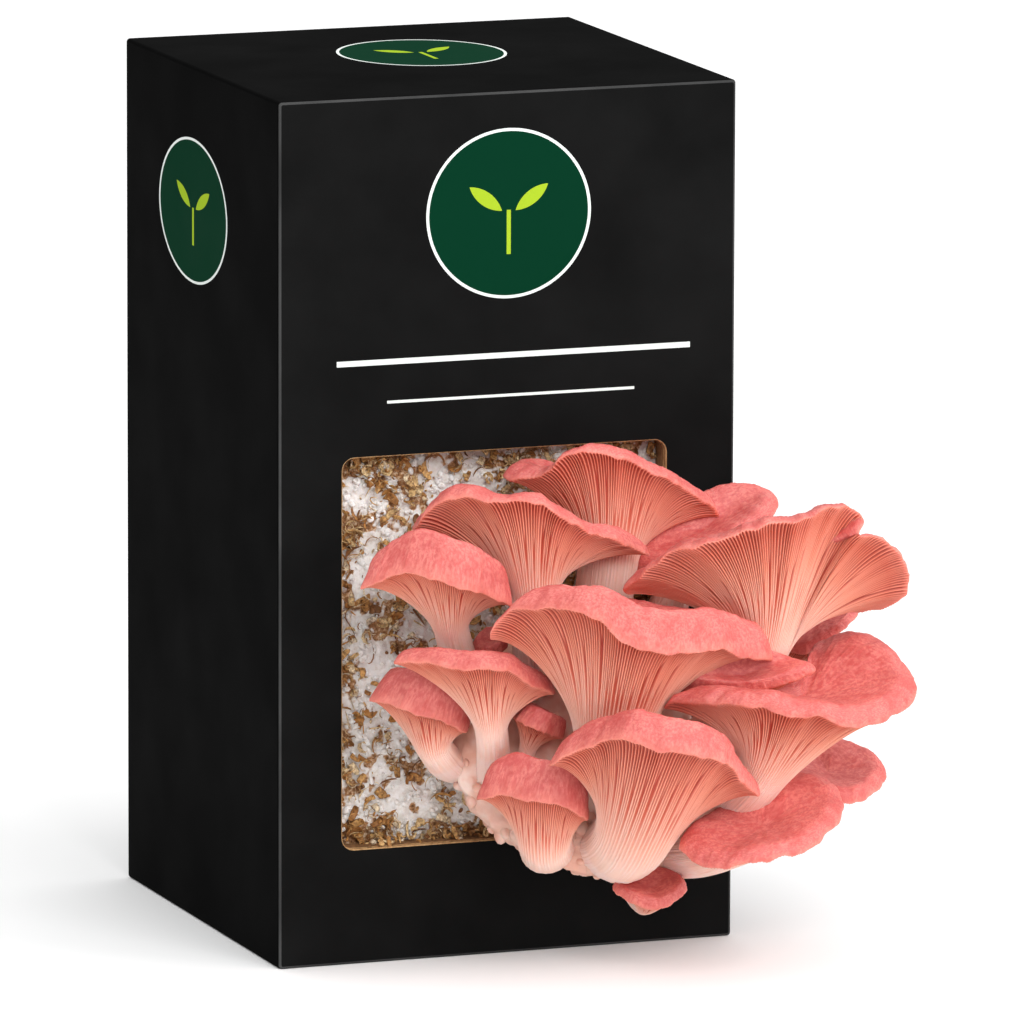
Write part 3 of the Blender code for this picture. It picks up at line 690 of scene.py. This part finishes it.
# foot and neck of the stem (x, out, z) with their radii, how far the cap's middle lies below and
# behind that of its rim, and the rim's stations (x, out, z, crest) from its left tip round the front
mushrooms = {
    "top": ((27, 6, 96), (29, 14, 128), (9, 9.5), (6, 0), [
        (-5, 10, 158, 4), (3, 17, 158, 4), (10, 21, 164, 4), (17, 23, 167, 4), (29, 24, 164, 4),
        (42, 23, 158, 4), (55, 19, 151, 4), (67, 12, 141, 4), (60, 4, 145, 3), (40, 2, 153, 2),
        (18, 2, 158, 2), (2, 4, 159, 3)]),
    "upper_left": ((6, 14, 92), (-1, 27, 121), (8, 8), (7, 0), [
        (-41, 26, 145, 5), (-38, 31, 153, 5), (-31, 37, 157, 5), (-18, 43, 156, 4), (-5, 44, 155, 4),
        (5, 42, 148, 4), (18, 36, 142, 4), (37, 27, 133, 4), (29, 25, 135, 3), (12, 24, 143, 2),
        (-8, 18, 149, 2), (-26, 15, 151, 3), (-37, 19, 147, 4)]),
    "left": ((-15, 8, 80), (-27, 22, 111), (6, 5.5), (1, 0), [
        (-59, 28, 128, 11), (-54, 33, 132, 12), (-47, 38, 134, 13), (-39, 42, 132, 13),
        (-30, 43, 129, 13), (-20, 40, 125, 12), (-11, 34, 121, 9), (-15, 26, 124, 7), (-26, 20, 129, 6),
        (-40, 18, 131, 6), (-53, 21, 130, 8)]),
    "centre": ((29, 22, 52), (20, 41, 77), (12, 12), (4, 0), [
        (-22, 44, 112, 6), (-20, 52, 121, 7), (-11, 60, 125, 8), (-1, 66, 124, 9), (8, 70, 118, 11),
        (18, 71, 112, 12), (33, 69, 109, 12), (50, 62, 107, 12), (71, 50, 102, 8), (62, 43, 107, 6),
        (42, 40, 113, 5), (20, 38, 117, 5), (0, 38, 119, 5), (-14, 39, 116, 5)]),
    "upper_right": ((56, 22, 62), (71, 39, 97), (8, 7.5), (8, 13), [
        (23, 44, 125, 5), (29, 52, 133, 5), (38, 60, 141, 5), (51, 65, 145, 5), (67, 67, 148, 5),
        (80, 63, 149, 4), (90, 57, 151, 4), (98, 53, 149, 2), (101, 53, 145, 1), (98, 56, 141, 1),
        (104, 57, 139, 2), (112, 54, 134, 3), (118, 49, 125, 3), (119, 41, 116, 3), (112, 32, 111, 3),
        (95, 26, 110, 2), (75, 25, 117, 2), (52, 29, 124, 2), (32, 37, 124, 3)]),
    "right": ((55, 26, 44), (67, 48, 64), (10, 10), (4, 0), [
        (34, 53, 88, 4), (41, 61, 91, 4), (48, 66, 91, 4), (56, 71, 91, 4), (66, 74, 88, 4),
        (77, 75, 86, 4), (89, 74, 83, 4), (102, 70, 83, 4), (113, 64, 86, 4), (118, 56, 90, 4),
        (119, 46, 95, 4), (115, 34, 100, 4), (107, 26, 101, 4), (98, 25, 98, 3), (89, 36, 96, 2),
        (77, 49, 92, 1), (60, 51, 91, 1), (44, 52, 89, 2)]),
    "lower_centre": ((27, 19, 38), (25, 46, 45), (12, 12.5), (3, 0), [
        (-6, 55, 73, 8), (-1, 63, 78, 10), (5, 70, 82, 10), (10, 76, 84, 10), (18, 81, 82, 10),
        (31, 83, 79, 10), (41, 80, 76, 9), (50, 74, 71, 8), (57, 68, 63, 6), (63, 61, 60, 5),
        (56, 57, 66, 4), (40, 58, 74, 4), (20, 59, 79, 5), (4, 57, 77, 6)]),
    "lower_left": ((8, 14, 41), (0, 35, 43), (9, 8.5), (0, 0), [
        (-22, 34, 59, 10), (-17, 40, 61, 12), (-10, 45, 60, 12), (-3, 48, 59, 12), (5, 48, 56, 11),
        (11, 44, 52, 8), (8, 36, 55, 6), (-2, 30, 59, 6), (-14, 28, 60, 8)]),
    "small_left": ((-17, 2, 62), (-30, 15, 72), (6, 5.8), (0, 0), [
        (-51, 14, 89, 9), (-48, 19, 89, 11), (-43, 24, 87, 12), (-36, 26, 85, 12), (-29, 25, 82, 11),
        (-21, 19, 78, 8), (-25, 11, 82, 6), (-34, 6, 87, 6), (-45, 7, 90, 8)]),
    "mid_left": ((-10, 13, 60), (-16, 29, 79), (5.5, 5.2), (4, 0), [
        (-49, 30, 104, 4), (-43, 36, 105, 4), (-35, 42, 104, 5), (-26, 45, 103, 5), (-16, 45, 102, 5),
        (-8, 42, 97, 5), (3, 34, 92, 4), (-4, 29, 95, 3), (-16, 28, 100, 3), (-30, 27, 103, 3),
        (-42, 26, 104, 3)]),
    "tiny": ((0, 14, 58), (-3, 27, 72), (3, 2.8), (0, 0), [
        (-8, 29, 83, 4), (-6, 34, 82, 5), (-2, 36, 80, 5), (3, 34, 78, 5), (8, 29, 76, 4), (5, 24, 79, 3),
        (-1, 22, 82, 3), (-7, 24, 84, 3)]),
    "lower_right": ((45, 22, 33), (56, 46, 39), (7, 7), (2, 0), [
        (36, 62, 44, 3), (39, 72, 41, 3), (48, 79, 41, 3), (59, 81, 43, 3), (70, 79, 44, 3),
        (81, 72, 47, 3), (91, 61, 52, 3), (94, 49, 57, 3), (85, 40, 60, 3), (73, 37, 58, 3),
        (58, 42, 52, 3), (44, 51, 47, 3)]),
    "far_right": ((52, 20, 40), (84, 28, 51), (6, 5.5), (1, 0), [
        (84, 42, 56, 3), (92, 46, 53, 3), (103, 46, 52, 3), (112, 40, 54, 3), (118, 32, 57, 3),
        (117, 22, 61, 3), (108, 15, 64, 3), (97, 13, 62, 3), (86, 19, 60, 3), (80, 31, 58, 3)]),
    "bottom": ((34, 20, 30), (35, 32, 20), (4, 3.5), (0, 0), [
        (23, 36, 27, 2), (26, 44, 24, 2), (32, 48, 22, 2), (39, 46, 23, 2), (46, 40, 26, 2),
        (46, 33, 28, 2), (38, 30, 30, 2), (28, 31, 29, 2)]),
    "back_right": ((40, 6, 84), (55, 13, 123), (6.5, 6), (1, 0), [
        (38, 14, 126, 3), (50, 23, 127, 3), (69, 25, 135, 3), (84, 19, 142, 3), (87, 11, 146, 3),
        (76, 5, 149, 3), (64, 4, 146, 3), (48, 5, 138, 3)]),
    "notch": ((44, 24, 58), (58, 44, 84), (7, 6.5), (0, 0), [
        (43, 45, 89, 9), (57, 53, 90, 4), (67, 57, 93, 2), (75, 58, 95, 2), (84, 54, 98, 2),
        (81, 50, 99, 2), (72, 46, 100, 6), (58, 43, 97, 10)]),
    "young": ((-4, 8, 82), (-11, 14, 97), (2.8, 2.5), (0, 0), [
        (-17, 16, 103, 2), (-15, 20, 102, 2), (-9, 19, 103, 2), (-6, 15, 106, 2), (-9, 11, 108, 2),
        (-15, 12, 106, 2)]),
    "far_back": ((50, 12, 66), (90, 12, 86), (4.2, 3.5), (0, 0), [
        (94, 16, 95, 2), (101, 21, 99, 2), (109, 22, 105, 2), (114, 17, 110, 2), (106, 9, 111, 2),
        (97, 6, 107, 2), (90, 8, 101, 2)]),
}


def closed_spline(stations, shares):
    """Points at shares (0 to 1) of the run along the closed cubic spline through the stations."""
    knots = np.array(stations, float)
    ahead = np.roll(knots, -1, axis=0)
    step = np.linalg.norm(ahead - knots, axis=1)
    count = len(knots)
    at = np.arange(count)
    system = np.zeros((count, count))
    system[at, at - 1] += np.roll(step, 1)
    system[at, at] += 2 * (np.roll(step, 1) + step)
    system[at, (at + 1) % count] += step
    slope = (ahead - knots) / step[:, None]
    bend = np.linalg.solve(system, 6 * (slope - np.roll(slope, 1, axis=0)))
    bend_ahead, step = np.roll(bend, -1, axis=0)[:, None], step[:, None, None]
    a = np.linspace(0, 1, 60, endpoint=False)[None, :, None] * step
    b = step - a
    fine = ((bend[:, None] * b**3 + bend_ahead * a**3) / (6 * step)
            + (knots[:, None] / step - bend[:, None] * step / 6) * b
            + (ahead[:, None] / step - bend_ahead * step / 6) * a).reshape(-1, knots.shape[1])
    closed = np.vstack([fine, fine[:1]])
    run = np.concatenate([[0], np.cumsum(np.linalg.norm(np.diff(closed[:, :3], axis=0), axis=1))])
    at = (np.asarray(shares) % 1) * run[-1]
    return np.stack([np.interp(at, run, closed[:, k]) for k in range(closed.shape[1])], axis=1), run[-1]


def eased(value):
    """0 below 0, 1 above 1, and an S-curve between."""
    value = np.clip(value, 0, 1)
    return value * value * (3 - 2 * value)


def mushroom_skin(spec, seed):
    """One closed skin: rows from the foot up the stem, along the gills, over the lip, in to the hub.

    The stem's middle is a quadratic curve from foot to neck. Each gill row lies on cubic curves
    from the neck to the lip, and the cap's rows on smooth curves from the lip over its crest to
    the hub. Gaps are then sunk between the gills, and the lip and cap are ruffled by waves.
    Returns points, faces, and the marks reach (0 foot, 1 neck, 2 lip, 3 hub), gill and around.
    """
    foot, neck, (foot_radius, neck_radius), dish, stations = spec
    draw = np.random.default_rng(seed)
    run = closed_spline(stations, [0.0])[1]
    gills = 4 * round(run * MM / (gill_spacing * np.clip(run / large_rim, 0.62, 1)) / 4)
    widths = 1 + np.clip(draw.normal(0, 0.13, gills), -0.3, 0.3)
    starts = np.concatenate([[0], np.cumsum(widths)]) / widths.sum()
    cell = np.arange(gills)[:, None] + 0.5 + blade_columns
    shares = np.interp(cell.ravel(), np.arange(gills + 1), starts)
    columns = len(shares)

    rim = closed_spline(stations, shares)[0]
    lip = np.stack([rim[:, 0] * MM, front - rim[:, 1] * MM, rim[:, 2] * MM], axis=1)
    crest = rim[:, 3:] * MM
    foot, neck, foot_radius, neck_radius = place(foot), place(neck), foot_radius * MM, neck_radius * MM
    middle = lip.mean(axis=0)
    up = unit(np.cross(lip - middle, np.roll(lip, -1, axis=0) - middle).sum(axis=0))
    axis = unit(unit(neck - foot) + unit(middle - neck))
    flat = lip - middle - ((lip - middle) @ up)[:, None] * up
    outward = unit(flat)
    side = unit(np.cross(up, [0, 1, 0]))
    other = np.cross(up, side)
    seen = np.unwrap(np.arctan2(flat @ other, flat @ side))
    even = 2 * np.pi * shares
    bearing = (seen + even + (seen - even).mean()) / 2
    stem_side = unit(side - (side @ axis) * axis)
    spoke = np.cos(bearing)[:, None] * stem_side + np.sin(bearing)[:, None] * np.cross(axis, stem_side)
    span = np.linalg.norm(lip - middle, axis=1)[:, None]
    size = np.clip(span.mean() / (35 * MM), 0.4, 1.0)

    # the lip's ruffle, from long waves to short, which the cap's shoulder follows in part
    waves = sum(np.sin(2 * np.pi * (k * shares + draw.random())) * height
                for k, height in ((5, 0.5), (9, 0.5), (14, 0.4), (23, 0.28), (37, 0.16)))
    ruffle = (waves * MM * size**1.5)[:, None]
    ruffle = up * ruffle - outward * np.roll(ruffle, columns // 7, axis=0) * 0.6
    even_lip, lip = lip, lip + ruffle

    stem_t = np.linspace(0.04, 1.0, 11)[:, None, None]
    bow = neck - axis * np.linalg.norm(neck - foot) / 2
    centre = (1 - stem_t) ** 2 * foot + 2 * stem_t * (1 - stem_t) * bow + stem_t**2 * neck
    stem = centre + spoke * (foot_radius + (neck_radius - foot_radius) * stem_t)
    stem = np.concatenate([[foot + spoke * 0.7 * foot_radius - axis * foot_radius * 0.3], stem])

    root = stem[-1]
    droop = np.radians(np.clip(crest / MM * 4, 8, 50))
    under = lip - up * lip_thickness / 2
    reach = np.linalg.norm(under - root, axis=1)[:, None]
    chord = unit(under - root)
    flare = np.clip((outward * chord).sum(axis=1)[:, None] + 0.5, 0, 1)
    arrive = np.cos(droop) * unit(outward * flare + chord * 0.8) - np.sin(droop) * up
    pull_root = root + axis * reach * 0.3
    pull_lip = under - arrive * np.minimum(reach * 0.3, span * 0.3)
    gill_t = np.linspace(0, 1, 25)[1:, None, None]
    trumpet = ((1 - gill_t) ** 3 * root + 3 * gill_t * (1 - gill_t) ** 2 * pull_root
               + 3 * gill_t**2 * (1 - gill_t) * pull_lip + gill_t**3 * under)

    dish, set_back = dish
    hub = middle - up * dish * MM + up * crest.mean() * 0.5 + [0, set_back * MM, 0]
    profile = [trumpet[-2], under, lip + outward * 0.35 * MM]
    # how far in from the lip, how much of the crest's height, how much of the ruffle is left
    for inward, height, ruffled in ((0.03, 0.34, 0.9), (0.085, 0.74, 0.6), (0.17, 1.0, 0.3),
                                    (0.34, 0.8, 0.1), (0.58, 0.42, 0.0), (0.93, 0.03, 0.0)):
        edge = even_lip + ruffle * ruffled
        proud = lip_thickness / 2 * min(1, height * 3) + crest * height
        profile.append(edge + (hub - edge) * inward + up * proud * (1 - inward**6))
    cap = smooth_rows(profile, [1, 2, 2, 3, 4, 4, 4, 4])[2:]
    rows = np.concatenate([stem, trumpet, cap])
    mark = np.concatenate([np.linspace(0, 1, len(stem)), 1 + gill_t.ravel(),
                           2 + np.linspace(0, 1, len(cap) + 1)[1:]])[:, None]

    # gill blades: each class of gill starts at its own reach, and is a ridge of even thickness
    along = np.arange(gills)[:, None] + blade_columns + 0 * cell
    along = along.ravel()[None]
    ring_run = np.linalg.norm(np.roll(rows, -1, axis=1) - rows, axis=2).sum(axis=1)[:, None]
    half_blade = np.clip(0.21 * MM * (0.6 + 0.4 * size) / (ring_run / gills), 0.14, 0.8)
    blade = 0.0
    # every how many gills, counted from which, the reach where they start, and how much that varies
    for period, shift, start, spread in ((2, 0, 0.8, 0.2), (4, 1, 1.28, 0.12), (4, 3, 1.5, 0.15)):
        nearest = np.round((along - shift) / period)
        apart = np.abs(along - shift - nearest * period)
        begins = start + spread * draw.uniform(-1, 1, gills // period + 1)
        begins = begins[nearest.astype(int) % (gills // period)]
        shape = np.exp(-((apart / half_blade / 1.25) ** 4))
        blade = np.maximum(blade, shape * eased((mark - begins) / 0.16))
    depth = np.interp(mark, [0.65, 1.0, 1.2, 1.5, 1.8, 1.95, 2.0, 2.03],
                      [0, 0.2, 0.5, 1.0, 1.05, 0.7, 0.25, 0])
    normals = outward_normals(rows)
    gill_side = (mark <= 2.0) & (mark > 0.65)
    blade = np.where(gill_side, blade, 1.0)

    # flesh texture: furrows down the stem, swells, dimples and fibres across the cap
    ring = np.stack([np.cos(2 * np.pi * shares), np.sin(2 * np.pi * shares)], axis=-1)
    ring = np.broadcast_to(ring[None], (len(rows), columns, 2))
    shrink = np.interp(mark, [2.0, 3.0], [1.0, 0.05])[..., None]
    across = np.broadcast_to(mark[..., None], (*rows.shape[:2], 1)) * 2.2
    around = np.concatenate([ring * run / 12 * shrink, across], axis=2)
    # each is a noise, and its height in mm at some marks
    layers = [(layered_noise(around * [1.0, 1.0, 0.5], seed, 3), [0, 0.8, 1.3], [1.6, 0.8, 0]),
              (layered_noise(rows / (16 * MM), seed + 3, 2), [1.95, 2.3], [0, 3.2]),
              (layered_noise(rows / (4 * MM), seed + 5, 3), [1.9, 2.1, 3], [0.1, 1.2, 1.2]),
              (layered_noise(around * [3.2, 3.2, 1.6], seed + 9, 2), [2.0, 2.08], [0, 0.5])]
    push = sum((noise - 0.5) * np.interp(mark, marks, heights) for noise, marks, heights in layers)
    push = (push - depth * (1 - blade)) * MM * (0.4 + 0.6 * size)
    rows = rows + normals * push[..., None]

    points = np.concatenate([rows.reshape(-1, 3), [rows[0].mean(axis=0), rows[-1].mean(axis=0)]])
    reach = np.append(np.broadcast_to(mark, rows.shape[:2]).ravel(), [0.0, 3.0]) / 3
    gill = np.append(blade.ravel(), [1.0, 1.0])
    around = np.concatenate([around.reshape(-1, 3), [[0, 0, 0], [0, 0, 6.6]]])
    return points, loop_faces(len(rows), columns), {"reach": reach, "gill": gill, "around": around}


def coral_flesh():
    """Coral cap, peach lip, gills from salmon edges to blush roots, and a pale stem. Towards the lip
    the gaps between the gills, and the ridges a little, darken to deep red: painted shade under the
    lip over the gills' own salmon. Upper stems behind the front caps take a deeper salmon as painted
    shade.
    """
    made = Finish("coral_flesh", Roughness=0.52)
    reach, gill, around = made.mark("reach"), made.mark("gill"), made.mark("around", "Vector")
    # the ridges' own colours, darkened just under the lip as painted shade
    ridge = made.tones(reach, (0.0, 240, 206, 194), (0.2, 246, 214, 204), (0.333, 248, 212, 200),
                       (0.43, 244, 188, 170), (0.53, 234, 152, 128), (0.62, 216, 116, 92),
                       (0.655, 226, 130, 108), (0.675, 232, 138, 120), (0.72, 208, 96, 92),
                       (1.0, 203, 93, 90))
    # painted shade: the gaps between the gills darken to deep red towards the lip, under its shade
    gap = made.tones(reach, (0.333, 244, 204, 188), (0.40, 236, 172, 150), (0.47, 208, 100, 74),
                     (0.55, 168, 42, 22), (0.65, 150, 32, 16), (0.667, 208, 102, 82))
    streak = made.noise(2.4, 5.0, (1.0, 1.0, 0.6), around, Roughness=0.7)
    blotch = made.noise(150.0, 5.0, Roughness=0.65)
    on_cap = made.fade(reach, 0.66, 0.70)
    colour = made.mix(gill, gap, ridge)
    for mottle, strength, shade in ((made.fade(streak, 0.43, 0.57), 0.6, tint(232, 142, 130)),
                                    (made.fade(blotch, 0.45, 0.62), 0.5, tint(190, 70, 68))):
        shown = made.math("MULTIPLY", on_cap, made.math("MULTIPLY", mottle, strength))
        colour = made.mix(shown, colour, shade)
    # painted shade: in the shade behind the front caps, the upper stems are tinted a deeper salmon, for
    # the shade and the red light bounced off the caps
    axes = made.axes()
    depth = made.math("MULTIPLY", made.math("ADD", axes["Y"], 24 * MM - front), 1 / (16 * MM))
    deep = made.fade(depth, 0.0, 1.0)
    high = made.fade(made.math("MULTIPLY", axes["Z"], 1 / (200 * MM)), 0.44, 0.54, high=0.9)
    behind = made.math("MULTIPLY", made.math("SUBTRACT", 1.0, on_cap), made.math("MULTIPLY", deep, high))
    colour = made.mix(behind, colour, tint(208, 100, 78))
    made.paint(colour)
    made.glow(0.3, (1.0, 0.4, 0.28), 2.5 * MM)
    pores = made.noise(900.0, 4.0)
    made.bump(made.math("ADD", made.math("MULTIPLY", streak, 0.8), pores), 0.35, 0.25 * MM)
    return made.material


coral = coral_flesh()
for seed, (name, spec) in enumerate(mushrooms.items(), 100):
    points, faces, marks = mushroom_skin(spec, seed)
    add_piece(f"mushroom_{name}_flesh", points, faces, [coral], [f"mushroom_{name}"], "mushroom",
              marks=marks)

# ----------------------------------------
# Studio: a plain white floor, a large soft key above and in front, soft fills at both sides,
# and a long lens that looks a little down on the front and left sides.

bpy.context.scene.view_settings.view_transform = "Standard"


def studio_floor():
    """A white sheet, 8 m square."""
    made = Finish("white_floor", Roughness=0.9, Specular_IOR_Level=0.0)
    made.paint(made.fade(made.noise(2.0), 0.0, 1.0, 0.94, 0.96))
    mesh = bpy.data.meshes.new("floor")
    corners = [(-4, -4, 0), (4, -4, 0), (4, 4, 0), (-4, 4, 0)]
    mesh.from_pydata(corners, [], [(0, 1, 2, 3)])
    mesh.materials.append(made.material)
    linked("floor", mesh)


def placed(side, up, back, place):
    """Matrix of an object at a place, its own axes along three directions."""
    return Matrix([*np.stack([side, up, back, place], axis=1).tolist(), [0, 0, 0, 1]])


def soft_light(name, place, aim, size, watts):
    """A square soft box at a place, turned to face the aim."""
    data = bpy.data.lights.new(name, "AREA")
    data.shape, data.size, data.energy = "SQUARE", size, watts
    back = unit(np.subtract(place, aim))
    side = unit(np.cross([0, 0, 1], back))
    linked(name, data).matrix_world = placed(side, np.cross(back, side), back, place)


studio_floor()
soft_light("key", (0.5, -3.0, 2.3), (0.0, 0.0, 0.12), 2.0, 54)
soft_light("fill_left", (-0.9, -2.4, 1.2), (0.0, 0.0, 0.12), 1.2, 7)
soft_light("fill_right", (1.9, -1.4, 0.9), (0.08, -0.1, 0.06), 1.2, 24)

world = bpy.data.worlds.new("studio")
world.use_nodes = True
bpy.context.scene.world = world
nodes, links = world.node_tree.nodes, world.node_tree.links
background = nodes["Background"]
background.inputs["Color"].default_value = (1, 1, 1, 1)
direction = nodes.new("ShaderNodeTexCoord").outputs["Generated"]
height = nodes.new("ShaderNodeSeparateXYZ")
overhead = nodes.new("ShaderNodeMapRange")
for socket, value in {"From Min": 0.05, "From Max": 0.95, "To Min": 0.12, "To Max": 1.5}.items():
    overhead.inputs[socket].default_value = value
links.new(direction, height.inputs[0])
links.new(height.outputs["Z"], overhead.inputs["Value"])
links.new(overhead.outputs["Result"], background.inputs["Strength"])

yaw, pitch, roll = (math.radians(angle) for angle in (20.277, 10.316, 0.185))
forward = np.array([math.sin(yaw) * math.cos(pitch), math.cos(yaw) * math.cos(pitch), -math.sin(pitch)])
right = np.array([math.cos(yaw), -math.sin(yaw), 0.0])
upward = np.cross(right, forward)
right, upward = (math.cos(roll) * right + math.sin(roll) * upward,
                 math.cos(roll) * upward - math.sin(roll) * right)
lens = bpy.data.cameras.new("camera")
lens.lens, lens.sensor_width = 444.96, 36
camera = linked("camera", lens)
camera.matrix_world = placed(right, upward, -forward, [-1.37767, -3.80875, 0.86830])
bpy.context.scene.camera = camera
